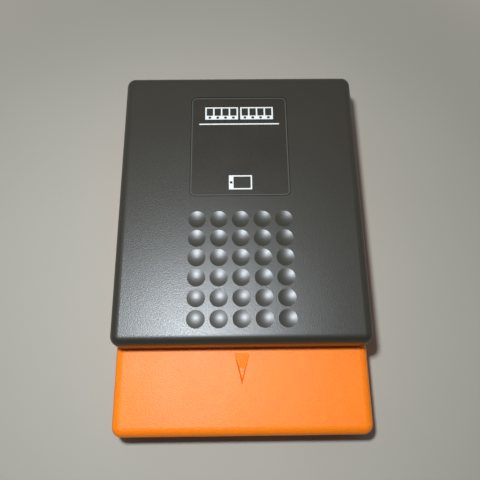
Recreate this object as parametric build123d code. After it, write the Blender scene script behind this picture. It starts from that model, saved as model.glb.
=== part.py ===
from build123d import *
from math import cos, dist, pi, sin, tan
import os

os.makedirs("parts", exist_ok=True)

# Film splicer for 8 mm wide Super 8 film: a flat box with a hinged lid, a film bed with
# register pins under it, and a shallow drawer for splicing patches in its front.
# All sizes are millimetres. The origin is the centre of the footprint on the table,
# +X is to the right, +Y points to the hinge at the back and +Z is up.

# ---- Outer form
body_width = 72.0             # lid, case and drawer front are equally wide
lid_length = 85.3
drawer_reach = 23.5           # how far the drawer front stands out before the lid
lid_top_z = 21.7
deck_z = 12.6                 # case rim and top of the drawer front
foot_proud = 0.8
corner_radius = 2.8           # upright corners, seen from above
lid_edge_radius = 2.65
drawer_edge_radius = 2.55
bottom_edge_radius = 0.7
parting_gap = 0.3             # between lid and case, and between drawer and case

# ---- Lower case
case_wall = 2.0
inner_corner_radius = 1.0
inner_deck_depth = 2.0        # the deck lies this far below the rim
deck_thickness = 1.6
joint_inset = 0.9             # drawer joint lies this far behind the lid's front face
bay_rib_thickness = 1.2
bay_rib_length = 42.0
cross_rib_height = 4.0
cross_rib_gap = 8.0           # first cross rib to the back of the tray
fence_height = 2.0
fence_thickness = 1.2
storage_front_gap = 4.0
storage_side_gap = 1.5
storage_length = 30.0

# ---- Base plate, its screws and feet
plate_thickness = 1.6
plate_gap = 0.15
foot_radius = 4.0
foot_thickness = 1.6
foot_inset = 12.3             # foot centre to the side of the case
foot_front_inset = 8.7        # front feet to the case's front face
foot_back_inset = 7.6         # rear feet to the back of the case
base_screw_length = 6.0
base_screw_radius = 1.0
base_screw_head_radius = 1.9
side_boss_radius = 2.2
side_boss_front_inset = 8.7
back_boss_radius = 2.6
back_boss_inset_x = 7.2
back_boss_inset_y = 15.0

# ---- Drawer
drawer_travel = 30.0
tray_depth_in_case = 42.3
tray_wall = 1.6
tray_floor = 1.4
slide_gap = 0.3
divider_thickness = 1.4
front_roof_thickness = 2.0
stop_radius = 2.0
stop_height = 0.9
stop_inset = 5.0              # stop stud to the case's front face
relief_depth = 1.4
relief_count = 4
relief_web = 2.0
arrow_length = 8.8
arrow_width = 4.45
arrow_gap = 1.4               # from the lid's front face to the arrow's wide end
arrow_ramp = 4.1
arrow_depth = 1.0
arrow_draft = 24.0            # slope of the arrow's side walls, in degrees

# ---- Lid
lid_wall = 2.0
lid_roof = 2.2
lid_open_angle = 105.0
lid_rib_height = 1.5
lid_rib_thickness = 1.2
lid_rib_spacing = 17.0
lid_rib_front_gap = 4.0       # from the press pad's ears to the ribs
label_width = 30.0
label_length = 34.1
label_back_inset = 8.1
label_recess = 0.5
label_thickness = 0.35
label_gap = 0.15
label_corner_radius = 1.7
label_bead_width = 0.5        # raised bead round the panel, level with the lid
label_bead_chamfer = 0.12
dimple_radius = 2.55
dimple_depth = 0.36
dimple_columns = 5
dimple_rows = 6
dimple_pitch_x = 6.3
dimple_pitch_y = 5.8
dimple_front_inset = 6.8      # first row's centres to the lid's front face
film_slot_height = 1.2
film_slot_spare = 1.2         # slot wider than the film by this

# ---- Lid hinge
hinge_radius = 2.6
hinge_pin_radius = 0.8
hinge_pin_inner_x = 12.5
hinge_pin_recess = 0.3
hinge_lug_x = 18.0            # inner face of each lug
hinge_lug_width = 6.0
hinge_lug_inset = 0.2
running_gap = 0.05            # radial clearance of a turning shaft
press_gap = 0.01              # radial clearance of a pressed pin
side_gap = 0.3                # beside lugs and knuckles

# ---- Film bed: Super 8 film is 8 mm wide, one frame is 4.234 mm long
film_width = 8.0
frame_pitch = 4.234
perforation_inset = 0.97      # perforation row's centre to the film's edge
press_inset = 21.3            # film's centre line to the lid's front face
bed_length_y = 21.0
bed_left_gap = 0.6
bed_thickness = 2.6
channel_depth = 0.6
channel_gap = 0.05
bed_front_offset = 10.4       # film's centre line to the bed's front edge
bed_corner_radius = 1.2
notch_radius = 5.0            # finger notches in the bed's front and back edges
notch_depth = 2.0
pin_radius = 0.44
pin_height = 0.7
pin_root = 1.6
left_pin_count = 5            # pins left of the splice line
right_pin_count = 4           # and right of it, before the one beside the cut
bed_screw_radius = 0.9
bed_screw_head_radius = 1.8
bed_screw_length = 4.0
index_line_width = 0.25
index_line_depth = 0.2

# ---- Cutter
lower_blade_thickness = 1.5
lower_blade_length = 14.0
lower_screw_radius = 0.45
lower_screw_head_radius = 0.8
lower_screw_length = 4.5
shear_gap = 0.05
cutter_blade_thickness = 0.75
cutter_blade_length = 15.0
cutter_blade_height = 5.2
cutter_blade_slant = 0.5
blade_overlap = 0.8           # cutting edge below the film when closed
lever_width = 5.6
lever_height = 3.9
lever_lift = 0.3              # lever's underside above the film bed
lever_pivot_back = 21.8       # lid hinge to the lever's pivot
lever_pivot_z = 14.4
lever_barrel_radius = 2.4
lever_pin_radius = 0.9
lever_lug_thickness = 1.5
lever_wall_gap = 0.3          # least room from the outer lug to the wall of the case
lever_front_gap = 1.4         # lever's front end to the lid's front wall
lever_core_wall = 1.6
lever_core_floor = 0.9        # left over the spring's cup
grip_length = 9.5
grip_spare = 1.2              # grip wider than the lever at each side
grip_seat_height = 2.6
grip_roof_gap = 0.5
grip_groove_count = 4
blade_screw_radius = 0.7
blade_screw_head_radius = 1.3
blade_screw_head_height = 0.8
cutter_spring_wire = 0.5
cutter_spring_radius = 1.8
cutter_spring_turns = 4.5
cutter_spring_cup = 2.4
cutter_spring_place = 15.0    # pivot to the spring's axis

# ---- Film clamps
clamp_inner_x = 12.6
clamp_thickness = 1.6
clamp_lift = 0.25
clamp_front_spare = 9.0       # clamp reaches this far before the film's centre line
clamp_pivot_offset = 15.0     # film's centre line to the clamp's pivot
clamp_pivot_lift = 0.05       # clamp's pivot above the middle of its plate
clamp_barrel_radius = 1.9
clamp_pin_radius = 0.75
clamp_lug_thickness = 1.5
clamp_lip_height = 2.2
clamp_pad_thickness = 1.0
clamp_pad_gap = 0.25
clamp_window_width = 1.8      # slot over the row of register pins
clamp_window_inset = 1.6      # slot's ends to the clamp's sides
clamp_spring_slot = 5.4
clamp_spring_wire = 0.5
clamp_spring_radius = 1.45
clamp_spring_turns = 3.75
clamp_spring_pitch = 1.0

# ---- Press pad in the lid
pad_length = 23.6
pad_width = 13.0
pad_thickness = 2.0
pad_gap = 0.25
pad_tongue_spare = 0.2
pad_groove_width = 1.8
holder_ear_radius = 3.0
holder_ear_offset = 8.6
holder_ear_thickness = 1.6
holder_ear_lift = 2.4         # top of the ears over the pad
holder_screw_radius = 0.9
holder_screw_length = 3.3

# ---- Catch spring at the front of the deck
catch_width = 6.0
catch_thickness = 0.4
catch_height = 5.6
catch_foot = 5.6
catch_rib_depth = 1.0
catch_screw_length = 1.9

# ---- Springs
wire_sides = 8                # round wire is drawn with this many flat sides

# ---- Places worked out from the sizes above
half_width = body_width / 2
back_y = (lid_length + drawer_reach) / 2
front_y = -back_y
lid_front_y = back_y - lid_length
case_bottom_z = foot_proud
inner_x = half_width - case_wall
inner_deck_z = deck_z - inner_deck_depth
bay_top_z = inner_deck_z - deck_thickness
plate_top_z = case_bottom_z + plate_thickness
case_front_y = lid_front_y + joint_inset
case_inner_front_y = case_front_y + case_wall
lid_rim_z = deck_z + parting_gap
lid_roof_z = lid_top_z - lid_roof
lid_inner_x = half_width - lid_wall
hinge_y = back_y - hinge_radius
hinge_z = lid_rim_z + hinge_radius
hinge_land_y = hinge_y - hinge_radius - side_gap
film_y = lid_front_y + press_inset
perforation_y = film_y + film_width / 2 - perforation_inset
bed_front_y = film_y - bed_front_offset
bed_back_y = bed_front_y + bed_length_y
bed_top_z = inner_deck_z + bed_thickness
film_z = bed_top_z - channel_depth
lever_room = lever_width + side_gap + lever_lug_thickness + lever_wall_gap
cut_limit_x = inner_x - lever_room - cutter_blade_thickness - shear_gap
frames_to_cut = int(cut_limit_x // frame_pitch)    # whole frames from splice line to cut
cut_x = frames_to_cut * frame_pitch
lever_left_x = cut_x + shear_gap + cutter_blade_thickness
lever_right_x = lever_left_x + lever_width
lever_bottom_z = bed_top_z + lever_lift
lever_top_z = lever_bottom_z + lever_height
lever_pivot_y = hinge_y - lever_pivot_back
lever_front_y = lid_front_y + lid_wall + lever_front_gap
spring_y = lever_pivot_y - cutter_spring_place
clamp_bottom_z = bed_top_z + clamp_lift
clamp_top_z = clamp_bottom_z + clamp_thickness
clamp_pivot_y = film_y + clamp_pivot_offset
clamp_pivot_z = (clamp_bottom_z + clamp_top_z) / 2 + clamp_pivot_lift
clamp_outer_x = lever_left_x - 2 * side_gap - clamp_lug_thickness
clamp_front_y = film_y - clamp_front_spare
storage_y = clamp_pivot_y + clamp_barrel_radius + storage_front_gap
storage_left_x = -inner_x + fence_thickness + storage_side_gap
storage_right_x = lever_left_x - side_gap - lever_lug_thickness - storage_side_gap
drawer_back_y = case_front_y - parting_gap
drawer_bottom_z = case_bottom_z + slide_gap
tray_x = inner_x - 2 * side_boss_radius - bay_rib_thickness - slide_gap
tray_bottom_z = plate_top_z + slide_gap
tray_top_z = bay_top_z - slide_gap
tray_back_y = drawer_back_y + tray_depth_in_case
stop_y = case_front_y + stop_inset
big = body_width              # longer than any cut needs
past = 1.0                    # how far a cut runs past the face that it opens


# ---- Plain forms used by many pieces
def block(x0, x1, y0, y1, z0, z1):
    """Box between two opposite corners."""
    return Pos((x0 + x1) / 2, (y0 + y1) / 2, (z0 + z1) / 2) * Box(x1 - x0, y1 - y0, z1 - z0)


def slab(x0, x1, y0, y1, z0, z1, radius):
    """Box whose upright corners are rounded."""
    outline = RectangleRounded(x1 - x0, y1 - y0, radius)
    return Pos((x0 + x1) / 2, (y0 + y1) / 2, z0) * extrude(outline, z1 - z0)


def upright(x, y, z0, z1, radius):
    """Cylinder standing on its end."""
    return Pos(x, y, (z0 + z1) / 2) * Cylinder(radius, z1 - z0)


def shaft(x0, x1, y, z, radius):
    """Cylinder lying along X."""
    return Pos((x0 + x1) / 2, y, z) * Rot(0, 90, 0) * Cylinder(radius, abs(x1 - x0))


def side_profile(points, x0, x1):
    """Outline in the Y-Z plane, drawn out from x0 to x1."""
    outline = make_face(Polyline(*points, close=True))
    return Pos(x0, 0, 0) * extrude(Plane.YZ * outline, x1 - x0)


def lug(x0, x1, y, z, radius, foot_z, bore_radius):
    """Upright ear with a round head and a bore along X."""
    ear = block(x0, x1, y - radius, y + radius, foot_z, z) + shaft(x0, x1, y, z, radius)
    return ear - shaft(x0 - past, x1 + past, y, z, bore_radius)


def countersunk(length, radius, head_radius):
    """Countersunk screw with a slotted head; its head is at z = 0, its shank points down."""
    head_height = head_radius - radius
    body = Pos(0, 0, -head_height / 2) * Cone(radius, head_radius, head_height)
    body += Pos(0, 0, -length / 2) * Cylinder(radius, length)
    slot_width = head_radius / 4
    return body - block(-head_radius, head_radius, -slot_width / 2, slot_width / 2, -slot_width, past)


def countersink(length, radius, head_radius, gap):
    """Space that a countersunk screw fills, widened by a gap and open above."""
    head_height = head_radius - radius
    hole = Pos(0, 0, -head_height / 2) * Cone(radius + gap, head_radius + gap, head_height)
    hole += Pos(0, 0, past / 2) * Cylinder(head_radius + gap, past)
    return hole + Pos(0, 0, -(length + gap) / 2) * Cylinder(radius + gap, length + gap)


def coil(radius, pitch, turns, lead_in, lead_out):
    """Centre line of a coil round Z from arcs of a quarter turn, with straight leads."""
    quarters = round(turns * 4)
    half_arc = pi / 4
    points = [
        Vector(radius * cos(q * pi / 2), radius * sin(q * pi / 2), pitch * q / 4)
        for q in range(quarters + 1)
    ]
    rise = pitch / (2 * pi) * half_arc / tan(half_arc)
    heading = Vector(0, radius, rise).normalized()
    edges = []
    if lead_in:
        edges.append(Line(points[0] - heading * lead_in, points[0]))
    for start, end in zip(points, points[1:]):
        arc = TangentArc(start, end, tangent=heading)
        heading = arc % 1
        edges.append(arc)
    if lead_out:
        edges.append(Line(points[-1], points[-1] + heading * lead_out))
    return edges


def wound_wire(name, radius, pitch, turns, wire, lead_in=0.0, lead_out=0.0):
    """Wire along a coil; prints the least gap from one turn to the next."""
    path = Wire(coil(radius, pitch, turns, lead_in, lead_out))
    steps = 24
    line = [
        (radius * cos(2 * pi * i / steps), radius * sin(2 * pi * i / steps), pitch * i / steps)
        for i in range(round(turns * steps) + 1)
    ]
    apart = min(
        dist(line[i], line[j]) for i in range(len(line)) for j in range(i + steps // 2, len(line))
    )
    print(f"{name}: least gap between turns {apart - wire:.2f} mm")
    section = Plane(origin=path @ 0, z_dir=path % 0) * RegularPolygon(wire / 2, wire_sides)
    return sweep(section, path=path)


def write(name, *pieces):
    """One STEP file per node; a node may hold several like solids."""
    solids = [solid for piece in pieces for solid in piece.solids()]
    export_step(solids[0] if len(solids) == 1 else Compound(solids), f"parts/{name}.step")


# ---- Lower case: an orange moulding with a deck, open underneath
side_boss_x = inner_x - side_boss_radius - slide_gap / 2
back_boss_x = inner_x - back_boss_inset_x
back_boss_y = back_y - back_boss_inset_y
boss_places = [
    (side * side_boss_x, case_front_y + side_boss_front_inset, side_boss_radius)
    for side in (-1, 1)
] + [(side * back_boss_x, back_boss_y, back_boss_radius) for side in (-1, 1)]


def lower_case():
    case = slab(
        -half_width, half_width, case_front_y - 2 * corner_radius, back_y,
        case_bottom_z, deck_z, corner_radius,
    )
    case = fillet(case.edges().group_by(Axis.Z)[0], bottom_edge_radius)
    case -= block(-big, big, case_front_y - big, case_front_y, -big, big)
    case -= slab(
        -inner_x, inner_x, case_inner_front_y, hinge_land_y,
        inner_deck_z, deck_z + past, inner_corner_radius,
    )
    case -= slab(
        -inner_x, inner_x, case_inner_front_y, back_y - case_wall,
        case_bottom_z - past, bay_top_z, inner_corner_radius,
    )
    mouth_x = tray_x + slide_gap
    case -= block(
        -mouth_x, mouth_x, case_front_y - past, case_inner_front_y + past, plate_top_z, bay_top_z
    )

    # The rim behind the hinge slopes, and the opened lid comes to rest along it.
    slope = lid_open_angle - 90
    above_slope = Pos(0, 0, big / 2 - hinge_radius - parting_gap) * Box(2 * big, big, big)
    case -= Pos(0, hinge_y, hinge_z) * Rot(-slope, 0, 0) * above_slope

    case = case + under_deck() + on_deck()
    for x, y, _ in boss_places:
        case -= upright(x, y, plate_top_z - past, bay_top_z, base_screw_radius)
    for x, y in bed_screw_places:
        case -= upright(
            x, y, bed_top_z - bed_screw_length - press_gap, bed_top_z, bed_screw_radius + press_gap
        )
    return case - upright(
        0, catch_screw_y, inner_deck_z - catch_screw_length, deck_z, bed_screw_radius
    )


def under_deck():
    """Guide ribs beside the tray, screw bosses and two stiffening ribs."""
    pieces = []
    for side in (-1, 1):
        inner = side * (tray_x + slide_gap)
        outer = inner + side * bay_rib_thickness
        pieces.append(
            block(
                min(inner, outer), max(inner, outer), case_inner_front_y,
                case_inner_front_y + bay_rib_length, tray_bottom_z, bay_top_z,
            )
        )
    pieces += [upright(x, y, plate_top_z, bay_top_z, radius) for x, y, radius in boss_places]
    first = tray_back_y + cross_rib_gap
    for y in (first, (first + back_y - case_wall) / 2):
        pieces.append(
            block(
                -inner_x, inner_x, y, y + bay_rib_thickness, bay_top_z - cross_rib_height, bay_top_z
            )
        )
    return pieces


def on_deck():
    """Hinge lugs, pivot lugs, the storage fence and the peg inside the cutter's spring."""
    pieces = []
    for side in (-1, 1):
        near = side * hinge_lug_x
        far = near + side * hinge_lug_width
        pieces.append(
            lug(
                min(near, far), max(near, far), hinge_y, hinge_z,
                hinge_radius - hinge_lug_inset, inner_deck_z, hinge_pin_radius + running_gap,
            )
        )
        for x in (clamp_inner_x - side_gap - clamp_lug_thickness, clamp_outer_x + side_gap):
            low = side * x if side > 0 else -x - clamp_lug_thickness
            pieces.append(
                lug(
                    low, low + clamp_lug_thickness, clamp_pivot_y, clamp_pivot_z,
                    clamp_barrel_radius, inner_deck_z, clamp_pin_radius + press_gap,
                )
            )
    for low in (lever_left_x - side_gap - lever_lug_thickness, lever_right_x + side_gap):
        pieces.append(
            lug(
                low, low + lever_lug_thickness, lever_pivot_y, lever_pivot_z,
                lever_barrel_radius, inner_deck_z, lever_pin_radius + press_gap,
            )
        )
    storage_end_y = storage_y + storage_length
    fence = slab(
        storage_left_x, storage_right_x, storage_y, storage_end_y,
        inner_deck_z, inner_deck_z + fence_height, 2 * inner_corner_radius,
    )
    fence -= slab(
        storage_left_x + fence_thickness, storage_right_x - fence_thickness,
        storage_y + fence_thickness, storage_end_y - fence_thickness,
        inner_deck_z - past, inner_deck_z + fence_height + past, inner_corner_radius,
    )
    pieces.append(fence)
    peg_radius = cutter_spring_radius - cutter_spring_wire / 2 - parting_gap
    pieces.append(
        upright(
            (lever_left_x + lever_right_x) / 2, spring_y,
            inner_deck_z, inner_deck_z + 2 * cutter_spring_wire, peg_radius,
        )
    )
    return pieces


# ---- Base plate with screws and feet
foot_places = [
    (side * (half_width - foot_inset), y)
    for side in (-1, 1)
    for y in (case_front_y + foot_front_inset, back_y - foot_back_inset)
]


def base_plate():
    plate = slab(
        -inner_x + plate_gap, inner_x - plate_gap, case_inner_front_y + plate_gap,
        back_y - case_wall - plate_gap, case_bottom_z, plate_top_z,
        inner_corner_radius - plate_gap,
    )
    plate += upright(0, stop_y, plate_top_z - plate_thickness / 2, plate_top_z + stop_height, stop_radius)
    for x, y in foot_places:
        seat_top_z = case_bottom_z + foot_thickness - foot_proud
        plate -= upright(x, y, case_bottom_z - past, seat_top_z, foot_radius + plate_gap)
    for x, y, _ in boss_places:
        hole = countersink(
            base_screw_length, base_screw_radius, base_screw_head_radius, running_gap
        )
        plate -= Pos(x, y, case_bottom_z) * Rot(180, 0, 0) * hole
    return plate


def base_screws():
    screw = countersunk(base_screw_length, base_screw_radius, base_screw_head_radius)
    return [Pos(x, y, case_bottom_z) * Rot(180, 0, 0) * screw for x, y, _ in boss_places]


def rubber_feet():
    feet = []
    for x, y in foot_places:
        foot = upright(x, y, 0, foot_thickness, foot_radius)
        feet.append(chamfer(foot.edges().group_by(Axis.Z)[0], foot_proud / 2))
    return feet


# ---- Drawer: the orange front of the splicer with a divided tray behind it
def patch_drawer():
    front = slab(
        -half_width, half_width, front_y, drawer_back_y + 2 * corner_radius,
        drawer_bottom_z, deck_z, corner_radius,
    )
    front = fillet(front.edges().group_by(Axis.Z)[-1], drawer_edge_radius)
    front = fillet(front.edges().group_by(Axis.Z)[0], bottom_edge_radius)
    front -= block(-big, big, drawer_back_y, drawer_back_y + big, -big, big)
    drawer = front + block(
        -tray_x, tray_x, drawer_back_y - case_wall, tray_back_y, tray_bottom_z, tray_top_z
    )

    for side in (-1, 1):
        ends = (side * divider_thickness / 2, side * (tray_x - tray_wall))
        drawer -= patch_bay(min(ends), max(ends))
    drawer -= arrow_recess()

    # Under the tray a groove takes the stop stud of the base plate.
    groove_x = stop_radius + slide_gap
    drawer -= slab(
        -groove_x, groove_x, stop_y - groove_x, stop_y + drawer_travel + groove_x,
        tray_bottom_z - past, plate_top_z + stop_height + running_gap, groove_x - 0.01,
    )

    # Relief pockets lighten the thick floor of the front.
    span = 2 * (half_width - case_wall) + relief_web
    pocket_pitch = span / relief_count
    for i in range(relief_count):
        left_x = -span / 2 + i * pocket_pitch + relief_web / 2
        drawer -= slab(
            left_x, left_x + pocket_pitch - relief_web, front_y + case_wall,
            drawer_back_y - case_wall, drawer_bottom_z - past, drawer_bottom_z + relief_depth,
            inner_corner_radius,
        )
    return drawer


def patch_bay(low, high):
    """Space for patches: open above in the tray, roofed over in the drawer's front."""
    floor_z = tray_bottom_z + tray_floor
    door_y = drawer_back_y - case_wall
    end_y = tray_back_y - tray_wall
    roofed = block(low, high, front_y + case_wall, door_y, floor_z, deck_z - front_roof_thickness)
    doorway = block(low, high, door_y - past, drawer_back_y + past, floor_z, tray_top_z)
    open_part = block(low, high, drawer_back_y, end_y, floor_z, tray_top_z + past)
    return roofed + doorway + open_part


def arrow_recess():
    """Thumb recess: a ramp from the wide end down to a pocket that ends in the tip."""
    wide_y = lid_front_y - arrow_gap
    tip_y = wide_y - arrow_length
    floor_z = deck_z - arrow_depth
    outline = make_face(
        Polyline((-arrow_width / 2, wide_y), (0, tip_y), (arrow_width / 2, wide_y), close=True)
    )
    above = Pos(0, 0, deck_z) * extrude(outline, past)
    wedge = above + Pos(0, 0, deck_z) * extrude(outline, -arrow_depth, taper=arrow_draft)
    ramp = side_profile(
        [
            (wide_y, deck_z), (wide_y - arrow_ramp, floor_z), (tip_y - past, floor_z),
            (tip_y - past, deck_z + past), (wide_y, deck_z + past),
        ],
        -arrow_width, arrow_width,
    )
    return wedge & ramp


# ---- Lid: a dark moulding with a label recess and round finger dimples
def lid():
    body = slab(
        -half_width, half_width, lid_front_y, back_y, lid_rim_z, lid_top_z, corner_radius
    )
    body = fillet(body.edges().group_by(Axis.Z)[-1], lid_edge_radius)
    barrel = shaft(-big, big, hinge_y, hinge_z, hinge_radius)
    body -= block(-big, big, hinge_y, back_y + past, lid_rim_z - past, hinge_z) - barrel
    cavity = slab(
        -lid_inner_x, lid_inner_x, lid_front_y + lid_wall, back_y - lid_wall,
        lid_rim_z - past, lid_roof_z, inner_corner_radius,
    )
    body -= cavity - barrel
    body += lid_inside()
    for x, y in holder_ears:
        tip_z = holder_ear_top_z - holder_ear_thickness + holder_screw_length + press_gap
        body -= upright(x, y, holder_ear_top_z - past, tip_z, holder_screw_radius + press_gap)
    for side in (-1, 1):
        near = side * (hinge_lug_x - side_gap)
        far = side * (hinge_lug_x + hinge_lug_width + side_gap)
        body -= block(
            min(near, far), max(near, far), hinge_y - hinge_radius - past, back_y + past,
            lid_rim_z - past, lid_roof_z,
        )
        bore_end = side * (half_width + past)
        bore_start = side * hinge_pin_inner_x
        body -= shaft(
            min(bore_end, bore_start), max(bore_end, bore_start), hinge_y, hinge_z,
            hinge_pin_radius + press_gap,
        )
    slot_y = (film_width + film_slot_spare) / 2
    body -= block(
        -big, big, film_y - slot_y, film_y + slot_y, lid_rim_z - past, lid_rim_z + film_slot_height
    )
    body -= slab(
        -label_width / 2, label_width / 2, label_y - label_length / 2, label_y + label_length / 2,
        lid_top_z - label_recess, lid_top_z + past, label_corner_radius,
    )
    return body - dimples()


label_y = back_y - label_back_inset - label_length / 2


def dimples():
    """Parts of balls that leave shallow round dishes in the lid's top."""
    ball_radius = (dimple_radius**2 + dimple_depth**2) / (2 * dimple_depth)
    ball = Pos(0, 0, ball_radius - dimple_depth) * Sphere(ball_radius)
    dish = ball & Cylinder(1.1 * dimple_radius, 2 * past)
    first_x = -dimple_pitch_x * (dimple_columns - 1) / 2
    first_y = lid_front_y + dimple_front_inset
    return [
        Pos(first_x + i * dimple_pitch_x, first_y + j * dimple_pitch_y, lid_top_z) * dish
        for i in range(dimple_columns)
        for j in range(dimple_rows)
    ]


def lid_inside():
    """Ribs, bosses of the pad holder and the rib that the catch spring rubs on."""
    pieces = []
    rib_front_y = film_y + holder_ear_offset + holder_ear_radius + lid_rib_front_gap
    for i in (-1, 0, 1):
        x = i * lid_rib_spacing
        pieces.append(
            block(
                x - lid_rib_thickness / 2, x + lid_rib_thickness / 2, rib_front_y,
                hinge_y - hinge_radius, lid_roof_z - lid_rib_height, lid_roof_z,
            )
        )
    boss_radius = holder_ear_radius - side_gap
    pieces += [upright(x, y, holder_ear_top_z, lid_roof_z, boss_radius) for x, y in holder_ears]
    pieces.append(
        block(
            -catch_width / 2, catch_width / 2, lid_front_y + lid_wall,
            lid_front_y + lid_wall + catch_rib_depth, lid_rim_z + parting_gap, lid_roof_z,
        )
    )
    return pieces


def label_inlay():
    """Thin smooth panel in the label recess, with a rounded bead along its edge."""
    x = label_width / 2 - label_gap
    y = label_length / 2 - label_gap
    radius = label_corner_radius - label_gap
    floor_z = lid_top_z - label_recess
    panel = slab(-x, x, label_y - y, label_y + y, floor_z, lid_top_z, radius)
    field_x = x - label_bead_width
    field_y = y - label_bead_width
    panel -= slab(
        -field_x, field_x, label_y - field_y, label_y + field_y,
        floor_z + label_thickness, lid_top_z + past, radius - label_bead_width,
    )
    return chamfer(panel.edges().group_by(Axis.Z)[-1], label_bead_chamfer)


def hinge_pins():
    pins = []
    for side in (-1, 1):
        ends = (side * hinge_pin_inner_x, side * (half_width - hinge_pin_recess))
        pins.append(shaft(min(ends), max(ends), hinge_y, hinge_z, hinge_pin_radius))
    return pins


# ---- Press pad under the lid
holder_ears = [(0, film_y - holder_ear_offset), (0, film_y + holder_ear_offset)]
pad_top_z = bed_top_z + pad_gap + pad_thickness
holder_ear_top_z = pad_top_z + holder_ear_lift


def press_pad_holder():
    block_top_z = lid_roof_z
    holder = slab(
        -pad_length / 2, pad_length / 2, film_y - pad_width / 2, film_y + pad_width / 2,
        pad_top_z, block_top_z, inner_corner_radius,
    )
    for x, y in holder_ears:
        low_z = holder_ear_top_z - holder_ear_thickness
        toward = film_y - y
        holder += upright(x, y, low_z, holder_ear_top_z, holder_ear_radius)
        holder += block(
            x - holder_ear_radius, x + holder_ear_radius, min(y, y + toward), max(y, y + toward),
            low_z, holder_ear_top_z,
        )
        holder -= upright(x, y, holder_ear_top_z, lid_roof_z + past, holder_ear_radius)
        holder -= Pos(x, y, low_z) * Rot(180, 0, 0) * countersink(
            holder_screw_length, holder_screw_radius, bed_screw_head_radius, running_gap
        )
    return holder


def press_pad():
    """Rubber pad with a tongue for the channel and a groove over the register pins."""
    pad = slab(
        -pad_length / 2, pad_length / 2, film_y - pad_width / 2, film_y + pad_width / 2,
        bed_top_z + pad_gap, pad_top_z, inner_corner_radius,
    )
    tongue_y = film_width / 2 - pad_tongue_spare
    pad += block(
        -pad_length / 2, pad_length / 2, film_y - tongue_y, film_y + tongue_y,
        film_z + pad_gap, pad_top_z,
    )
    return pad - block(
        -big, big, perforation_y - pad_groove_width / 2, perforation_y + pad_groove_width / 2,
        0, film_z + pin_height + 2 * pad_gap,
    )


def holder_screws():
    screw = countersunk(holder_screw_length, holder_screw_radius, bed_screw_head_radius)
    low_z = holder_ear_top_z - holder_ear_thickness
    return [Pos(x, y, low_z) * Rot(180, 0, 0) * screw for x, y in holder_ears]


# ---- Film bed with register pins and the fixed blade
bed_left_x = -inner_x + bed_left_gap
bed_right_x = cut_x - side_gap
bed_screw_inset = 3.0
bed_screw_places = [
    (x, y)
    for x in (bed_left_x + bed_screw_inset, bed_right_x - 2 * bed_screw_inset)
    for y in (bed_front_y + bed_screw_inset, bed_back_y - bed_screw_inset)
]
last_pin = frames_to_cut - 1
pin_columns = [
    (k + 0.5) * frame_pitch for k in (*range(-left_pin_count, min(right_pin_count, last_pin)), last_pin)
]
lower_screw_places = [
    film_y + side * (film_width / 2 + (lower_blade_length - film_width) / 4) for side in (-1, 1)
]


def film_bed():
    bed = slab(
        bed_left_x, bed_right_x, bed_front_y, bed_back_y, inner_deck_z, bed_top_z, bed_corner_radius
    )
    channel_y = film_width / 2 + channel_gap
    bed -= block(-big, big, film_y - channel_y, film_y + channel_y, film_z, bed_top_z + past)
    blade_y = lower_blade_length / 2 + running_gap
    bed -= block(
        cut_x - lower_blade_thickness, big, film_y - blade_y, film_y + blade_y, 0, bed_top_z + past
    )
    notch_offset = notch_radius - notch_depth
    for y in (bed_front_y - notch_offset, bed_back_y + notch_offset):
        bed -= upright(0, y, inner_deck_z - past, bed_top_z + past, notch_radius)
    for x, y in bed_screw_places:
        bed -= Pos(x, y, bed_top_z) * countersink(
            bed_screw_length, bed_screw_radius, bed_screw_head_radius, running_gap
        )
    for x in pin_columns:
        bed -= upright(x, perforation_y, film_z - pin_root, film_z + past, pin_radius + press_gap)
    for y in lower_screw_places:
        bed -= shaft(
            cut_x - lower_screw_length - parting_gap, cut_x, y, lower_screw_z,
            lower_screw_radius + press_gap,
        )
    # Index lines on the front land, one at each end of the two frames at the splice.
    for k in (-2, -1, 1, 2):
        x = k * frame_pitch
        bed -= block(
            x - index_line_width / 2, x + index_line_width / 2, bed_front_y - past,
            film_y - channel_y + past, bed_top_z - index_line_depth, bed_top_z + past,
        )
    return bed


lower_screw_z = (inner_deck_z + film_z) / 2


def register_pins():
    pins = []
    for x in pin_columns:
        pin = upright(x, perforation_y, film_z - pin_root, film_z + pin_height, pin_radius)
        pins.append(chamfer(pin.edges().group_by(Axis.Z)[-1], pin_radius / 2))
    return pins


def bed_screws():
    screw = countersunk(bed_screw_length, bed_screw_radius, bed_screw_head_radius)
    return [Pos(x, y, bed_top_z) * screw for x, y in bed_screw_places]


def lower_blade():
    blade = block(
        cut_x - lower_blade_thickness, cut_x, film_y - lower_blade_length / 2,
        film_y + lower_blade_length / 2, inner_deck_z, film_z,
    )
    for y in lower_screw_places:
        blade -= Pos(cut_x, y, lower_screw_z) * Rot(0, 90, 0) * countersink(
            lower_screw_length, lower_screw_radius, lower_screw_head_radius, press_gap
        )
    return blade


def lower_blade_screws():
    screw = countersunk(lower_screw_length, lower_screw_radius, lower_screw_head_radius)
    return [Pos(cut_x, y, lower_screw_z) * Rot(0, 90, 0) * screw for y in lower_screw_places]


# ---- Cutter: a lever at the right with a blade, a thumb grip and a lifting spring
blade_front_y = film_y - cutter_blade_length / 2
blade_back_y = film_y + cutter_blade_length / 2
blade_screw_z = lever_bottom_z + lever_height / 2
blade_screw_places = [film_y - cutter_blade_length / 4, film_y + cutter_blade_length / 4]
spring_x = (lever_left_x + lever_right_x) / 2
spring_top_z = lever_bottom_z + cutter_spring_cup


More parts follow.
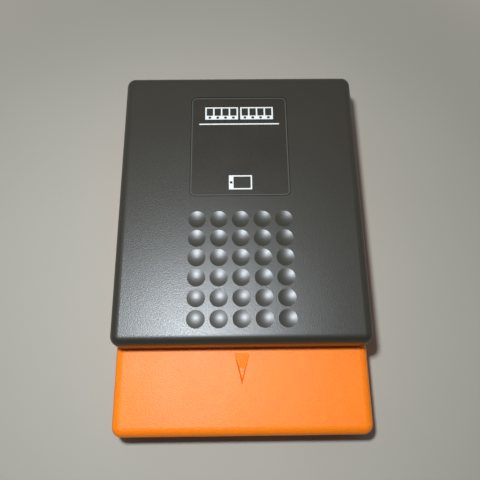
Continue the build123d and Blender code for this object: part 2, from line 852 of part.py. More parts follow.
def cutter_lever():
    grip_back_y = lever_front_y + grip_length
    seat_z = lever_bottom_z + grip_seat_height
    lever = side_profile(
        [
            (lever_front_y, lever_bottom_z), (lever_pivot_y, lever_bottom_z),
            (lever_pivot_y, lever_pivot_z + lever_barrel_radius),
            (lever_pivot_y - lever_barrel_radius, lever_top_z), (grip_back_y, lever_top_z),
            (grip_back_y, seat_z), (lever_front_y, seat_z),
        ],
        lever_left_x, lever_right_x,
    )
    lever += shaft(
        lever_left_x, lever_right_x, lever_pivot_y, lever_pivot_z, lever_barrel_radius
    )
    lever -= shaft(
        lever_left_x - past, lever_right_x + past, lever_pivot_y, lever_pivot_z,
        lever_pin_radius + running_gap,
    )
    # The arm is cored from above between the blade and the pivot.
    core_radius = (lever_width - 2 * lever_core_wall) / 2
    lever -= slab(
        lever_left_x + lever_core_wall, lever_right_x - lever_core_wall,
        blade_back_y + lever_core_wall, lever_pivot_y - 2 * lever_barrel_radius,
        spring_top_z + lever_core_floor, lever_top_z + past, core_radius * 0.98,
    )
    lever -= upright(
        spring_x, spring_y, lever_bottom_z - past, spring_top_z + running_gap,
        cutter_spring_radius + cutter_spring_wire / 2 + parting_gap,
    )
    for y in blade_screw_places:
        lever -= shaft(
            lever_left_x - past, lever_left_x + lever_width / 2, y, blade_screw_z,
            blade_screw_radius + press_gap,
        )
    return lever


def cutter_blade():
    """Blade on the lever's left face; its slanted lower edge shears past the fixed blade."""
    edge_z = film_z - blade_overlap
    blade = side_profile(
        [
            (blade_front_y, edge_z - cutter_blade_slant / 2),
            (blade_back_y, edge_z + cutter_blade_slant / 2),
            (blade_back_y, edge_z + cutter_blade_height),
            (blade_front_y, edge_z + cutter_blade_height),
        ],
        cut_x + shear_gap, lever_left_x,
    )
    for y in blade_screw_places:
        blade -= shaft(
            cut_x, lever_left_x + past, y, blade_screw_z, blade_screw_radius + running_gap
        )
    return blade


def blade_screws():
    screws = []
    face_x = cut_x + shear_gap
    for y in blade_screw_places:
        screw = shaft(
            face_x, lever_left_x + lever_width / 2 - side_gap, y, blade_screw_z, blade_screw_radius
        )
        head = shaft(
            face_x - blade_screw_head_height, face_x, y, blade_screw_z, blade_screw_head_radius
        )
        head = chamfer(head.edges().group_by(Axis.X)[0], blade_screw_head_height / 3)
        slot = block(
            face_x - blade_screw_head_height - past, face_x - blade_screw_head_height / 2,
            y - blade_screw_head_radius, y + blade_screw_head_radius,
            blade_screw_z - 0.2, blade_screw_z + 0.2,
        )
        screws.append(head + screw - slot)
    return screws


def cutter_grip():
    """Thumb grip that caps the front end of the lever."""
    base_z = lever_bottom_z + grip_seat_height
    grip = slab(
        lever_left_x - grip_spare, lever_right_x + grip_spare, lever_front_y,
        lever_front_y + grip_length - side_gap, base_z, lid_roof_z - grip_roof_gap, grip_spare,
    )
    grip = fillet(grip.edges().group_by(Axis.Z)[-1], grip_spare / 2)
    pitch = grip_length / (grip_groove_count + 1)
    for i in range(grip_groove_count):
        y = lever_front_y + (i + 1) * pitch
        grip -= shaft(
            lever_left_x - 2 * grip_spare, lever_right_x + 2 * grip_spare, y,
            lid_roof_z - grip_roof_gap + pitch / 5, pitch / 3,
        )
    return grip


def cutter_spring():
    rise = spring_top_z - inner_deck_z - cutter_spring_wire - 2 * running_gap
    wire = wound_wire(
        "cutter_spring", cutter_spring_radius, rise / cutter_spring_turns,
        cutter_spring_turns, cutter_spring_wire,
    )
    return Pos(spring_x, spring_y, inner_deck_z + cutter_spring_wire / 2 + running_gap) * wire


def cutter_pivot_pin():
    return shaft(
        lever_left_x - side_gap - lever_lug_thickness, lever_right_x + side_gap + lever_lug_thickness,
        lever_pivot_y, lever_pivot_z, lever_pin_radius,
    )


# ---- Film clamps left and right of the splice, hinged behind the bed
def film_clamp(side):
    """Clamp plate with a turned-up lip in front and a knuckle at its back."""
    low, high = clamp_span(side)
    plate = block(low, high, clamp_front_y, clamp_pivot_y, clamp_bottom_z, clamp_top_z)
    lip = block(
        low, high, clamp_front_y, clamp_front_y + clamp_thickness,
        clamp_bottom_z, clamp_top_z + clamp_lip_height,
    )
    lip = fillet(lip.edges().filter_by(Axis.X).group_by(Axis.Z)[-1], clamp_thickness * 0.45)
    clamp = plate + lip
    inner_edge = clamp.edges().filter_by(Axis.X).filter_by(
        lambda edge: abs(edge.center().Y - clamp_front_y - clamp_thickness) < 0.01
        and abs(edge.center().Z - clamp_top_z) < 0.01
    )
    clamp = fillet(inner_edge, clamp_thickness / 2)
    clamp += shaft(low, high, clamp_pivot_y, clamp_pivot_z, clamp_barrel_radius)
    middle = (low + high) / 2
    clamp -= block(
        middle - clamp_spring_slot / 2, middle + clamp_spring_slot / 2,
        clamp_pivot_y - clamp_barrel_radius - side_gap, big, 0, big,
    )
    clamp -= shaft(low - past, high + past, clamp_pivot_y, clamp_pivot_z, clamp_pin_radius + running_gap)
    seat_y = clamp_pad_span()
    clamp -= block(
        low - past, high + past, seat_y[0], seat_y[1], 0, film_z + clamp_pad_gap + clamp_pad_thickness
    )
    return clamp - slab(
        low + clamp_window_inset, high - clamp_window_inset,
        perforation_y - clamp_window_width / 2, perforation_y + clamp_window_width / 2,
        0, clamp_top_z + past, clamp_window_width * 0.49,
    )


def clamp_span(side):
    ends = (side * clamp_inner_x, side * clamp_outer_x)
    return min(ends), max(ends)


def clamp_pad_span():
    return film_y - film_width / 2 + pad_tongue_spare, perforation_y - pad_groove_width / 2


def clamp_pad(side):
    """Rubber strip that holds the film down beside the row of pins."""
    low, high = clamp_span(side)
    seat_y = clamp_pad_span()
    floor_z = film_z + clamp_pad_gap
    return block(low, high, seat_y[0], seat_y[1], floor_z, floor_z + clamp_pad_thickness)


def clamp_pivot_pins():
    pins = []
    for side in (-1, 1):
        low, high = clamp_span(side)
        spare = side_gap + clamp_lug_thickness
        pins.append(
            shaft(low - spare, high + spare, clamp_pivot_y, clamp_pivot_z, clamp_pin_radius)
        )
    return pins


def clamp_spring(name, side):
    """Torsion spring round the pivot pin: one leg under the clamp, one down to the deck."""
    low, high = clamp_span(side)
    down = clamp_pivot_z - inner_deck_z - clamp_spring_wire / 2 - 2 * running_gap
    forward = clamp_pivot_y - bed_back_y - clamp_spring_wire
    wire = wound_wire(
        name, clamp_spring_radius, clamp_spring_pitch, clamp_spring_turns,
        clamp_spring_wire, lead_in=down, lead_out=forward,
    )
    start_x = (low + high) / 2 - clamp_spring_pitch * clamp_spring_turns / 2
    frame = Plane(
        origin=(start_x, clamp_pivot_y, clamp_pivot_z), x_dir=(0, 1, 0), z_dir=(1, 0, 0)
    )
    return frame * wire


# ---- Catch spring that holds the lid's front shut by friction
catch_y = lid_front_y + lid_wall + catch_rib_depth + parting_gap
catch_screw_y = catch_y + catch_foot / 2 + catch_thickness


def catch_spring():
    upright_leg = block(
        -catch_width / 2, catch_width / 2, catch_y, catch_y + catch_thickness,
        inner_deck_z, inner_deck_z + catch_height,
    )
    foot = block(
        -catch_width / 2, catch_width / 2, catch_y, catch_y + catch_foot,
        inner_deck_z, inner_deck_z + catch_thickness,
    )
    strip = upright_leg + foot
    top_edge = strip.edges().filter_by(Axis.X).group_by(Axis.Z)[-1]
    strip = fillet(top_edge, catch_thickness * 0.45)
    return strip - upright(0, catch_screw_y, 0, big, bed_screw_radius + running_gap)


def catch_screw():
    top_z = inner_deck_z + catch_thickness
    head_height = bed_screw_radius
    head = upright(0, catch_screw_y, top_z, top_z + head_height, bed_screw_head_radius)
    head = chamfer(head.edges().group_by(Axis.Z)[-1], head_height / 2)
    slot = bed_screw_radius / 3
    head -= block(-big, big, catch_screw_y - slot / 2, catch_screw_y + slot / 2, top_z + slot, big)
    shank_low_z = inner_deck_z - deck_thickness + parting_gap
    return head + upright(0, catch_screw_y, shank_low_z, top_z, bed_screw_radius - press_gap)


write("lower_case", lower_case())
write("base_plate", base_plate())
write("base_screws", *base_screws())
write("rubber_feet", *rubber_feet())
write("patch_drawer", patch_drawer())
write("lid", lid())
write("label_inlay", label_inlay())
write("hinge_pins", *hinge_pins())
write("press_pad_holder", press_pad_holder())
write("press_pad", press_pad())
write("holder_screws", *holder_screws())
write("film_bed", film_bed())
write("register_pins", *register_pins())
write("film_bed_screws", *bed_screws())
write("lower_blade", lower_blade())
write("lower_blade_screws", *lower_blade_screws())
write("cutter_lever", cutter_lever())
write("cutter_blade", cutter_blade())
write("cutter_blade_screws", *blade_screws())
write("cutter_grip", cutter_grip())
write("cutter_spring", cutter_spring())
write("cutter_pivot_pin", cutter_pivot_pin())
write("left_film_clamp", film_clamp(-1))
write("right_film_clamp", film_clamp(1))
write("left_clamp_pad", clamp_pad(-1))
write("right_clamp_pad", clamp_pad(1))
write("clamp_pivot_pins", *clamp_pivot_pins())
write("left_clamp_spring", clamp_spring("left_clamp_spring", -1))
write("right_clamp_spring", clamp_spring("right_clamp_spring", 1))
write("catch_spring", catch_spring())
write("catch_screw", catch_screw())
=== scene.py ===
import bpy, math
from mathutils import Matrix, Vector


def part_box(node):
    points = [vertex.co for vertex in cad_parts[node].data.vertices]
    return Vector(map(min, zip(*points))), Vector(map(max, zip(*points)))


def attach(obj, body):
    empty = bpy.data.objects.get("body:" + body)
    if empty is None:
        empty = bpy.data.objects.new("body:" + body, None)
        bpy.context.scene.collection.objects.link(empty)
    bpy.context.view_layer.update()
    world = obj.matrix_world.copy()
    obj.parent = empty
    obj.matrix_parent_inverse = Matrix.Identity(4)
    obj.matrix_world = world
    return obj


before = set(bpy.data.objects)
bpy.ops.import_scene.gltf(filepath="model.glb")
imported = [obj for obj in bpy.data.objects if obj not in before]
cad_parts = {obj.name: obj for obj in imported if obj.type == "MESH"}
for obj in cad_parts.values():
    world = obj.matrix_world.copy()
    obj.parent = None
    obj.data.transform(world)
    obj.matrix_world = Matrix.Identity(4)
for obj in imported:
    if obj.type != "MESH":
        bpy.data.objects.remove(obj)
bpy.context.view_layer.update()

# ---- Lower case and drawer
# Two orange mouldings: the open-bottomed case that holds the mechanism, and the drawer whose
# front stands out before the lid. Injection-moulded ABS with a satin face.
mm = 0.001


def linear(hex_colour):
    """sRGB hex to the linear colour that shader sockets take."""
    channels = [int(hex_colour[i:i + 2], 16) / 255 for i in (1, 3, 5)]
    return [c / 12.92 if c <= 0.04045 else ((c + 0.055) / 1.055) ** 2.4 for c in channels] + [1.0]


def add(tree, kind, inputs=None, **settings):
    """One shader node with its settings; inputs are values or other nodes' sockets."""
    made = tree.nodes.new("ShaderNode" + kind)
    for name, value in settings.items():
        setattr(made, name, value)
    for key, value in (inputs or {}).items():
        if isinstance(value, bpy.types.NodeSocket):
            tree.links.new(value, made.inputs[key])
        else:
            made.inputs[key].default_value = value
    return made


def empty_material(name):
    """A material without nodes, its node tree, and object coordinates to draw patterns in."""
    material = bpy.data.materials.new(name)
    material.use_nodes = True
    tree = material.node_tree
    tree.nodes.clear()
    place = add(tree, "TexCoord").outputs["Object"]
    return material, tree, place


def dress(material, *nodes):
    """Gives CAD nodes one material."""
    for name in nodes:
        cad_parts[name].data.materials.clear()
        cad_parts[name].data.materials.append(material)


def satin_orange_abs():
    """Moulded ABS off a fine-blasted tool: even colour, soft sheen and faint flow marks, and red
    light that passes a little way through at the edges."""
    material, tree, place = empty_material("satin orange ABS")
    blast_width = 0.45 * mm           # real grit is about 0.1 mm, drawn coarser so that it shows
    blast_depth = 0.075 * mm
    flow_width = 14 * mm
    blast = add(tree, "TexNoise", {"Vector": place, "Scale": 1 / blast_width, "Detail": 3.0})
    flow = add(tree, "TexNoise", {"Vector": place, "Scale": 1 / flow_width, "Detail": 4.0})
    colour = add(
        tree, "Mix",
        {"Factor": flow.outputs["Fac"], "A": linear("#F67D07"), "B": linear("#F98209")},
        data_type="RGBA",
    )
    roughness = add(
        tree, "MapRange",
        {
            "Value": flow.outputs["Fac"], "From Min": 0.3, "From Max": 0.7,
            "To Min": 0.44, "To Max": 0.5,
        },
    )
    relief = add(
        tree, "Bump",
        {"Height": blast.outputs["Fac"], "Strength": 1.0, "Distance": blast_depth},
    )
    surface = add(
        tree, "BsdfPrincipled",
        {
            "Base Color": colour.outputs["Result"], "Roughness": roughness.outputs["Result"],
            "Normal": relief.outputs["Normal"], "IOR": 1.54, "Specular IOR Level": 0.29,
            "Subsurface Weight": 0.6,
            "Subsurface Radius": (1.0, 0.2, 0.04),
            "Subsurface Scale": 1.8 * mm,
        },
    )
    add(tree, "OutputMaterial", {"Surface": surface.outputs[0]})
    return material


dress(satin_orange_abs(), "lower_case", "patch_drawer", "cutter_grip")


# ---- Base plate, screws and feet
# The case is closed underneath by a black moulded plate on four zinc-plated screws, and stands
# on four black rubber buttons. All screws of the object are slotted and plated alike.


def plain_black_abs(name, tone):
    """Moulded black ABS, dull and even; it takes a grey bloom where it is broad."""
    material, tree, place = empty_material(name)
    grain_width = 0.5 * mm
    grain_depth = 0.02 * mm
    bloom_width = 9 * mm
    grain = add(tree, "TexNoise", {"Vector": place, "Scale": 1 / grain_width, "Detail": 4.0})
    bloom = add(tree, "TexNoise", {"Vector": place, "Scale": 1 / bloom_width, "Detail": 5.0})
    colour = add(
        tree, "Mix",
        {"Factor": bloom.outputs["Fac"], "A": linear(tone), "B": linear("#3A3735")},
        data_type="RGBA",
    )
    relief = add(
        tree, "Bump",
        {"Height": grain.outputs["Fac"], "Strength": 0.4, "Distance": grain_depth},
    )
    surface = add(
        tree, "BsdfPrincipled",
        {
            "Base Color": colour.outputs["Result"], "Roughness": 0.5,
            "Normal": relief.outputs["Normal"], "IOR": 1.54,
        },
    )
    add(tree, "OutputMaterial", {"Surface": surface.outputs[0]})
    return material


def moulded_rubber(name, dark, pale):
    """Rubber with a dusty matt skin, cloudy from handling."""
    material, tree, place = empty_material(name)
    dust_width = 1.2 * mm
    dust_depth = 0.03 * mm
    dust = add(tree, "TexNoise", {"Vector": place, "Scale": 1 / dust_width, "Detail": 6.0})
    colour = add(
        tree, "Mix", {"Factor": dust.outputs["Fac"], "A": linear(dark), "B": linear(pale)},
        data_type="RGBA",
    )
    relief = add(
        tree, "Bump", {"Height": dust.outputs["Fac"], "Strength": 0.5, "Distance": dust_depth}
    )
    surface = add(
        tree, "BsdfPrincipled",
        {
            "Base Color": colour.outputs["Result"], "Roughness": 0.78,
            "Normal": relief.outputs["Normal"], "IOR": 1.52,
        },
    )
    add(tree, "OutputMaterial", {"Surface": surface.outputs[0]})
    return material


def worked_metal(name, dark, pale, roughness, line_width, stretch, mark_depth):
    """Metal with fine tool marks: lines of line_width, drawn out by stretch along X, Y and Z."""
    material, tree, place = empty_material(name)
    aligned = add(tree, "Mapping", {"Vector": place, "Scale": stretch})
    marks = add(
        tree, "TexNoise",
        {"Vector": aligned.outputs["Vector"], "Scale": 1 / line_width, "Detail": 4.0},
    )
    colour = add(
        tree, "Mix", {"Factor": marks.outputs["Fac"], "A": linear(dark), "B": linear(pale)},
        data_type="RGBA",
    )
    spread = add(
        tree, "MapRange",
        {
            "Value": marks.outputs["Fac"], "From Min": 0.3, "From Max": 0.7,
            "To Min": roughness * 0.92, "To Max": roughness * 1.1,
        },
    )
    relief = add(
        tree, "Bump", {"Height": marks.outputs["Fac"], "Strength": 1.0, "Distance": mark_depth}
    )
    surface = add(
        tree, "BsdfPrincipled",
        {
            "Base Color": colour.outputs["Result"], "Roughness": spread.outputs["Result"],
            "Normal": relief.outputs["Normal"], "Metallic": 1.0,
        },
    )
    add(tree, "OutputMaterial", {"Surface": surface.outputs[0]})
    return material


even = (1.0, 1.0, 1.0)
shallow = 0.001 * mm
dress(plain_black_abs("dull black ABS", "#262423"), "base_plate")
dress(moulded_rubber("black rubber", "#1B1B1C", "#2A2A2B"), "rubber_feet")
# Zinc plate: a pale, slightly cloudy metal that mirrors softly.
plating_cloud = 2 * mm
dress(
    worked_metal("bright zinc plate", "#BFC1C5", "#CCCED1", 0.36, plating_cloud, even, shallow),
    "base_screws", "film_bed_screws", "holder_screws", "catch_screw", "lower_blade_screws",
    "cutter_blade_screws",
)


# ---- Film bed and its pins
# A bar of aluminium, milled with a channel for the film, brushed along the film and anodised
# clear. Ten hardened steel pins are pressed in at the film's frame pitch.

# Brushing gives the bar long fine lines and a broad, pale sheen.
along_film = (0.02, 1.0, 1.0)
brush_width = 0.25 * mm               # real lines are about 0.05 mm, drawn coarser to show
brush_depth = 0.003 * mm
brushed_aluminium = worked_metal(
    "brushed anodised aluminium", "#BBBEC1", "#D6D8DA", 0.36, brush_width, along_film, brush_depth
)
dress(brushed_aluminium, "film_bed")
# The pins are polished, so they stand out as small dark and bright points.
polish_cloud = 0.2 * mm
dress(
    worked_metal("hardened steel pin", "#A3A4A7", "#BEBFC1", 0.22, polish_cloud, even, shallow),
    "register_pins",
)


# ---- Cutter, film clamps, pins and springs
# Two ground steel blades shear past each other, one let into the film bed and one screwed to a
# moulded black lever. Lever, clamps and lid turn on turned steel pins, and wound springs lift
# lever and clamps. A bent spring at the front catches the lid.

# Grinding across the blade gives it short straight lines and a hard glint.
across_blade = (1.0, 0.06, 1.0)
grinding_width = 0.2 * mm             # real lines are about 0.03 mm, drawn coarser to show
grinding_depth = 0.002 * mm
ground_steel = worked_metal(
    "ground blade steel", "#A9ABAE", "#CFD1D3", 0.2, grinding_width, across_blade, grinding_depth
)
dress(ground_steel, "lower_blade", "cutter_blade")
dress(
    plain_black_abs("satin black ABS", "#1E1D1D"),
    "cutter_lever", "left_film_clamp", "right_film_clamp", "press_pad_holder",
)
# Turned pins have a bright, slightly drawn-out sheen along their axis.
along_pin = (0.1, 1.0, 1.0)
dress(
    worked_metal("turned steel pin", "#A0A1A4", "#BDBEC0", 0.25, polish_cloud, along_pin, shallow),
    "cutter_pivot_pin", "clamp_pivot_pins", "hinge_pins",
)
# Drawn wire is a shade darker than the pins and mirrors less.
dress(
    worked_metal("drawn spring wire", "#8A8B8F", "#ABACAF", 0.3, polish_cloud, even, shallow),
    "cutter_spring", "left_clamp_spring", "right_clamp_spring", "catch_spring",
)


# ---- Clamp pads and press pad
# Strips of soft grey rubber, moulded and bonded on, that hold the film without marking it.
dress(
    moulded_rubber("soft grey rubber", "#5C5C5C", "#737373"),
    "left_clamp_pad", "right_clamp_pad", "press_pad",
)


# ---- Lid
# The dark cover, moulded in brown-black ABS. Its faces are spark-eroded to a fine leather-like
# grain, and only the thirty dimples for the fingers were polished in the tool.
lid_low, lid_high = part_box("lid")
dimple_depth = 0.36 * mm
dimple_field_x = 16 * mm              # half the width of the dimpled field
dimple_field_back_y = 8 * mm
dimple_rim_z = lid_high.z - 0.01 * mm
dimple_floor_z = lid_high.z - 1.2 * dimple_depth


def grained_dark_abs():
    """Spark-eroded ABS: a speckled sheen on the grain, smooth gloss down in the dimples."""
    material, tree, place = empty_material("grained dark ABS")
    grain_width = 0.32 * mm           # real grit is about 0.15 mm, drawn coarser so that it shows
    grain_depth = 0.042 * mm
    patch_width = 12 * mm
    grain = add(
        tree, "TexNoise",
        {"Vector": place, "Scale": 1 / grain_width, "Detail": 2.5, "Roughness": 0.6},
    )
    patches = add(tree, "TexNoise", {"Vector": place, "Scale": 1 / patch_width, "Detail": 4.0})
    axes = add(tree, "SeparateXYZ", {"Vector": place}).outputs
    across = add(tree, "Math", {0: axes["X"]}, operation="ABSOLUTE")
    inside = [
        add(tree, "Math", {0: across.outputs[0], 1: dimple_field_x}, operation="LESS_THAN"),
        add(tree, "Math", {0: axes["Y"], 1: dimple_field_back_y}, operation="LESS_THAN"),
        add(tree, "Math", {0: axes["Z"], 1: dimple_rim_z}, operation="LESS_THAN"),
        add(tree, "Math", {0: axes["Z"], 1: dimple_floor_z}, operation="GREATER_THAN"),
    ]
    in_dimple = inside[0].outputs[0]
    for test in inside[1:]:
        in_dimple = add(
            tree, "Math", {0: in_dimple, 1: test.outputs[0]}, operation="MULTIPLY"
        ).outputs[0]
    colour = add(
        tree, "Mix",
        {"Factor": patches.outputs["Fac"], "A": linear("#27241D"), "B": linear("#2B2820")},
        data_type="RGBA",
    )
    grain_roughness = add(
        tree, "MapRange",
        {
            "Value": grain.outputs["Fac"], "From Min": 0.3, "From Max": 0.7,
            "To Min": 0.33, "To Max": 0.43,
        },
    )
    roughness = add(
        tree, "Mix", {"Factor": in_dimple, "A": grain_roughness.outputs["Result"], "B": 0.385}
    )
    strength = add(tree, "Mix", {"Factor": in_dimple, "A": 1.0, "B": 0.12})
    relief = add(
        tree, "Bump",
        {
            "Height": grain.outputs["Fac"], "Strength": strength.outputs["Result"],
            "Distance": grain_depth,
        },
    )
    surface = add(
        tree, "BsdfPrincipled",
        {
            "Base Color": colour.outputs["Result"], "Roughness": roughness.outputs["Result"],
            "Normal": relief.outputs["Normal"], "IOR": 1.54, "Specular IOR Level": 0.56,
        },
    )
    add(tree, "OutputMaterial", {"Surface": surface.outputs[0]})
    return material


dress(grained_dark_abs(), "lid")


# ---- Label panel
# A thin smooth panel of the same dark plastic, glued into a shallow recess. A plain sign of two
# film ends laid together, a rule and a single film frame are screen-printed on it in white.
panel_field_z = 21.55 * mm            # the panel inside its raised bead
bead_foot_z = panel_field_z + 0.03 * mm
bead_crown_z = panel_field_z + 0.12 * mm


def smooth_dark_panel():
    """Polished ABS sheet, faintly rippled and smudged; its raised bead is painted lighter, a
    painted highlight where the bead catches the lamp.
    """
    material, tree, place = empty_material("smooth dark panel")
    ripple_width = 0.45 * mm
    ripple_depth = 0.02 * mm
    smudge_width = 8 * mm
    ripples = add(tree, "TexNoise", {"Vector": place, "Scale": 1 / ripple_width, "Detail": 3.0})
    smudges = add(tree, "TexNoise", {"Vector": place, "Scale": 1 / smudge_width, "Detail": 4.0})
    field_colour = add(
        tree, "Mix",
        {"Factor": smudges.outputs["Fac"], "A": linear("#201B14"), "B": linear("#2C2720")},
        data_type="RGBA",
    )
    height = add(tree, "SeparateXYZ", {"Vector": place}).outputs["Z"]
    # Painted highlight: the bead's crown gets a lighter colour by height, standing in for the
    # lamp's glint on it.
    bead_painted_highlight = add(
        tree, "MapRange", {"Value": height, "From Min": bead_foot_z, "From Max": bead_crown_z}
    )
    colour = add(
        tree, "Mix",
        {
            "Factor": bead_painted_highlight.outputs["Result"],
            "A": field_colour.outputs["Result"], "B": linear("#484640"),
        },
        data_type="RGBA",
    )
    roughness = add(
        tree, "MapRange",
        {
            "Value": ripples.outputs["Fac"], "From Min": 0.35, "From Max": 0.7,
            "To Min": 0.33, "To Max": 0.41,
        },
    )
    relief = add(
        tree, "Bump",
        {"Height": ripples.outputs["Fac"], "Strength": 0.5, "Distance": ripple_depth},
    )
    surface = add(
        tree, "BsdfPrincipled",
        {
            "Base Color": colour.outputs["Result"], "Roughness": roughness.outputs["Result"],
            "Normal": relief.outputs["Normal"], "IOR": 1.54, "Specular IOR Level": 0.5,
        },
    )
    add(tree, "OutputMaterial", {"Surface": surface.outputs[0]})
    return material


dress(smooth_dark_panel(), "label_inlay")


def white_screen_ink():
    """Matt screen ink: near white, a little uneven where the mesh let less of it through."""
    material, tree, place = empty_material("white screen ink")
    mesh_width = 0.3 * mm             # a screen's mesh is 0.06 mm, drawn coarser so that it shows
    mesh_depth = 0.01 * mm
    coat = add(tree, "TexNoise", {"Vector": place, "Scale": 1 / mesh_width, "Detail": 3.0})
    colour = add(
        tree, "Mix",
        {"Factor": coat.outputs["Fac"], "A": linear("#CBCCCA"), "B": linear("#DCDDDB")},
        data_type="RGBA",
    )
    relief = add(
        tree, "Bump", {"Height": coat.outputs["Fac"], "Strength": 0.3, "Distance": mesh_depth}
    )
    surface = add(
        tree, "BsdfPrincipled",
        {
            "Base Color": colour.outputs["Result"], "Roughness": 0.6,
            "Normal": relief.outputs["Normal"], "IOR": 1.5,
        },
    )
    add(tree, "OutputMaterial", {"Surface": surface.outputs[0]})
    return material


# The sign is drawn in millimetres, as rectangles of (left, low, right, high).
line_width = 0.45                     # between two film frames
rail = 0.4                            # along the film's plain edge
band = 1.35                           # along its perforated edge
hole_width, hole_height = 0.8, 0.75
strip_reach = 10.6
splice_gap = 0.35                     # from the middle to either film end
strip_low, strip_high = 38.3, 42.7
frames_per_strip = 4
rule = (-12.4, 36.43, 12.4, 36.86)
single_frame = (-3.3, 14.4, 3.6, 19.0)


def printed_strip(left, low, right, high, count):
    """Ink of one film end: rail, lines between frames, and a band left open at its holes."""
    hole_low = low + (band - hole_height) / 2
    hole_high = hole_low + hole_height
    step = (right - left - line_width) / count
    lines = [left + i * step for i in range(count + 1)]
    middles = [line + (line_width + step) / 2 for line in lines[:-1]]
    starts = [left] + [middle + hole_width / 2 for middle in middles]
    ends = [middle - hole_width / 2 for middle in middles] + [right]
    return (
        [(left, high - rail, right, high), (left, low, right, hole_low)]
        + [(left, hole_high, right, low + band)]
        + [(line, low + band, line + line_width, high - rail) for line in lines]
        + [(start, hole_low, end, hole_high) for start, end in zip(starts, ends)]
    )


def printed_frame(left, low, right, high):
    """Ink of a single frame, with its hole in the band at the left."""
    middle = (low + high) / 2
    hole = (left + (band - hole_height) / 2, left + (band + hole_height) / 2)
    below, above = middle - hole_width / 2, middle + hole_width / 2
    return [
        (left, low, hole[0], high), (hole[1], low, left + band, high),
        (hole[0], low, hole[1], below), (hole[0], above, hole[1], high),
        (left + band, high - rail, right, high), (left + band, low, right, low + rail),
        (right - rail, low + rail, right, high - rail),
    ]


ink_thickness = 0.02 * mm
fields = printed_strip(-strip_reach, strip_low, -splice_gap, strip_high, frames_per_strip)
fields += printed_strip(splice_gap, strip_low, strip_reach, strip_high, frames_per_strip)
fields += [rule]
fields += printed_frame(*single_frame)
sides = ((3, 2, 1, 0), (4, 5, 6, 7), (0, 1, 5, 4), (1, 2, 6, 5), (2, 3, 7, 6), (3, 0, 4, 7))
corners = []
faces = []
for left, low, right, high in fields:
    start = len(corners)
    outline = ((left, low), (right, low), (right, high), (left, high))
    for z in (panel_field_z, panel_field_z + ink_thickness):
        corners += [(x * mm, y * mm, z) for x, y in outline]
    faces += [[start + corner for corner in side] for side in sides]
print_mesh = bpy.data.meshes.new("label_print")
print_mesh.from_pydata(corners, [], faces)
print_mesh.materials.append(white_screen_ink())
label_print = bpy.data.objects.new("label_print", print_mesh)
bpy.context.scene.collection.objects.link(label_print)
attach(label_print, "lid")


# ---- Floor and backdrop
# A pale matt board under the object. The lamp stands close, so its light falls off over the
# board: what is seen far from the object has the backdrop's even tone.
backdrop_tone = "#D9D5CC"
backdrop_strength = 0.6


def seen_directly(tree):
    """1 for the camera, mirrors and glass, 0 for the light that falls on the object."""
    ray = add(tree, "LightPath").outputs
    seen = add(
        tree, "Math", {0: ray["Is Camera Ray"], 1: ray["Is Glossy Ray"]}, operation="MAXIMUM"
    )
    return add(
        tree, "Math", {0: seen.outputs[0], 1: ray["Is Transmission Ray"]}, operation="MAXIMUM"
    ).outputs[0]


def pale_floor():
    """Pale matt board round the object that takes its shadow, and the backdrop's tone far off."""
    material, tree, place = empty_material("pale floor")
    mottle_width = 125 * mm
    near, far = 90 * mm, 200 * mm     # where the backdrop's tone starts and where it is full
    mottle = add(tree, "TexNoise", {"Vector": place, "Scale": 1 / mottle_width, "Detail": 5.0})
    colour = add(
        tree, "Mix",
        {"Factor": mottle.outputs["Fac"], "A": linear("#9F988C"), "B": linear("#A8A296")},
        data_type="RGBA",
    )
    board = add(
        tree, "BsdfPrincipled", {"Base Color": colour.outputs["Result"], "Roughness": 0.7}
    )
    distance = add(tree, "VectorMath", {0: place}, operation="LENGTH").outputs["Value"]
    far_off = add(
        tree, "MapRange", {"Value": distance, "From Min": near, "From Max": far},
        interpolation_type="SMOOTHSTEP",
    )
    share = add(
        tree, "Math", {0: far_off.outputs["Result"], 1: seen_directly(tree)},
        operation="MULTIPLY",
    )
    tone = add(
        tree, "Emission", {"Color": linear(backdrop_tone), "Strength": backdrop_strength}
    )
    surface = add(
        tree, "MixShader", {0: share.outputs[0], 1: board.outputs[0], 2: tone.outputs[0]}
    )
    add(tree, "OutputMaterial", {"Surface": surface.outputs[0]})
    return material


floor_reach = 3.0
floor_mesh = bpy.data.meshes.new("floor")
floor_mesh.from_pydata(
    [
        (-floor_reach, -floor_reach, 0), (floor_reach, -floor_reach, 0),
        (floor_reach, floor_reach, 0), (-floor_reach, floor_reach, 0),
    ],
    [], [(0, 1, 2, 3)],
)
floor_mesh.materials.append(pale_floor())
floor = bpy.data.objects.new("floor", floor_mesh)
bpy.context.scene.collection.objects.link(floor)


# ---- Light
# Even light from all round, stronger from behind and low down and weaker from the front, and
# one small soft lamp high above the lid, to the left of the camera.
world = bpy.data.worlds.new("even light")
bpy.context.scene.world = world
world.use_nodes = True
room = world.node_tree
room.nodes.clear()
direction = add(room, "TexCoord").outputs["Generated"]
toward = add(room, "SeparateXYZ", {"Vector": direction}).outputs
behind = add(
    room, "MapRange",
    {"Value": toward["Y"], "From Min": -0.2, "From Max": 0.9, "To Min": 0.06, "To Max": 0.36},
)
low_down = add(
    room, "MapRange",
    {"Value": toward["Z"], "From Min": 0.0, "From Max": 0.5, "To Min": 0.85, "To Max": 0.0},
)
less_in_front = add(
    room, "MapRange",
    {"Value": toward["Y"], "From Min": -0.8, "From Max": 0.0, "To Min": 0.1, "To Max": 1.0},
)
round_about = add(
    room, "Math", {0: low_down.outputs["Result"], 1: less_in_front.outputs["Result"]},
    operation="MULTIPLY",
)
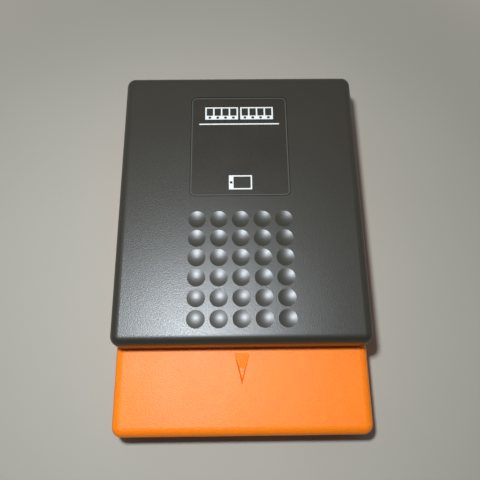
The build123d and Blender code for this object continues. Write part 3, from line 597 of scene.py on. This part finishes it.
fill = add(
    room, "Math", {0: behind.outputs["Result"], 1: round_about.outputs[0]}, operation="ADD"
)
ambient = add(room, "Background", {"Color": linear("#F1F3F6"), "Strength": fill.outputs[0]})
mirrored = add(
    room, "MapRange",
    {"Value": toward["Y"], "From Min": -0.6, "From Max": 0.4, "To Min": 0.1, "To Max": 0.5},
)
shown = add(
    room, "Mix",
    {
        "Factor": add(room, "LightPath").outputs["Is Camera Ray"],
        "A": mirrored.outputs["Result"], "B": backdrop_strength,
    },
)
backdrop = add(
    room, "Background", {"Color": linear(backdrop_tone), "Strength": shown.outputs["Result"]}
)
sky = add(
    room, "MixShader", {0: seen_directly(room), 1: ambient.outputs[0], 2: backdrop.outputs[0]}
)
add(room, "OutputWorld", {"Surface": sky.outputs[0]})

lamp_place = Vector((-29, -11, 205)) * mm
lamp_aim = Vector((-20, 5, 10)) * mm
lamp_data = bpy.data.lights.new("near lamp", "AREA")
lamp_data.shape = "DISK"
lamp_data.size = 20 * mm
lamp_data.energy = 0.54
lamp_data.color = linear("#EEF7FF")[:3]
lamp = bpy.data.objects.new("near lamp", lamp_data)
lamp.location = lamp_place
lamp.rotation_euler = (lamp_aim - lamp_place).to_track_quat("-Z", "Y").to_euler()
lamp.visible_camera = False
bpy.context.scene.collection.objects.link(lamp)


# ---- Camera
# It stands where the outlines of lid, drawer, label and dimples put it: above the object and a
# little before it, looking down.
camera_place = Vector((-1.49, -46.88, 155.84)) * mm
pitch, yaw, roll = (math.radians(angle) for angle in (18.690, -1.606, 0.976))
camera_data = bpy.data.cameras.new("camera")
camera_data.sensor_width = 36.0
camera_data.lens = 37.093
camera_data.clip_start = 10 * mm
camera = bpy.data.objects.new("camera", camera_data)
camera.matrix_world = (
    Matrix.Translation(camera_place) @ Matrix.Rotation(yaw, 4, "Z")
    @ Matrix.Rotation(pitch, 4, "X") @ Matrix.Rotation(roll, 4, "Z")
)
bpy.context.scene.collection.objects.link(camera)
bpy.context.scene.camera = camera
bpy.context.scene.view_settings.view_transform = "Standard"
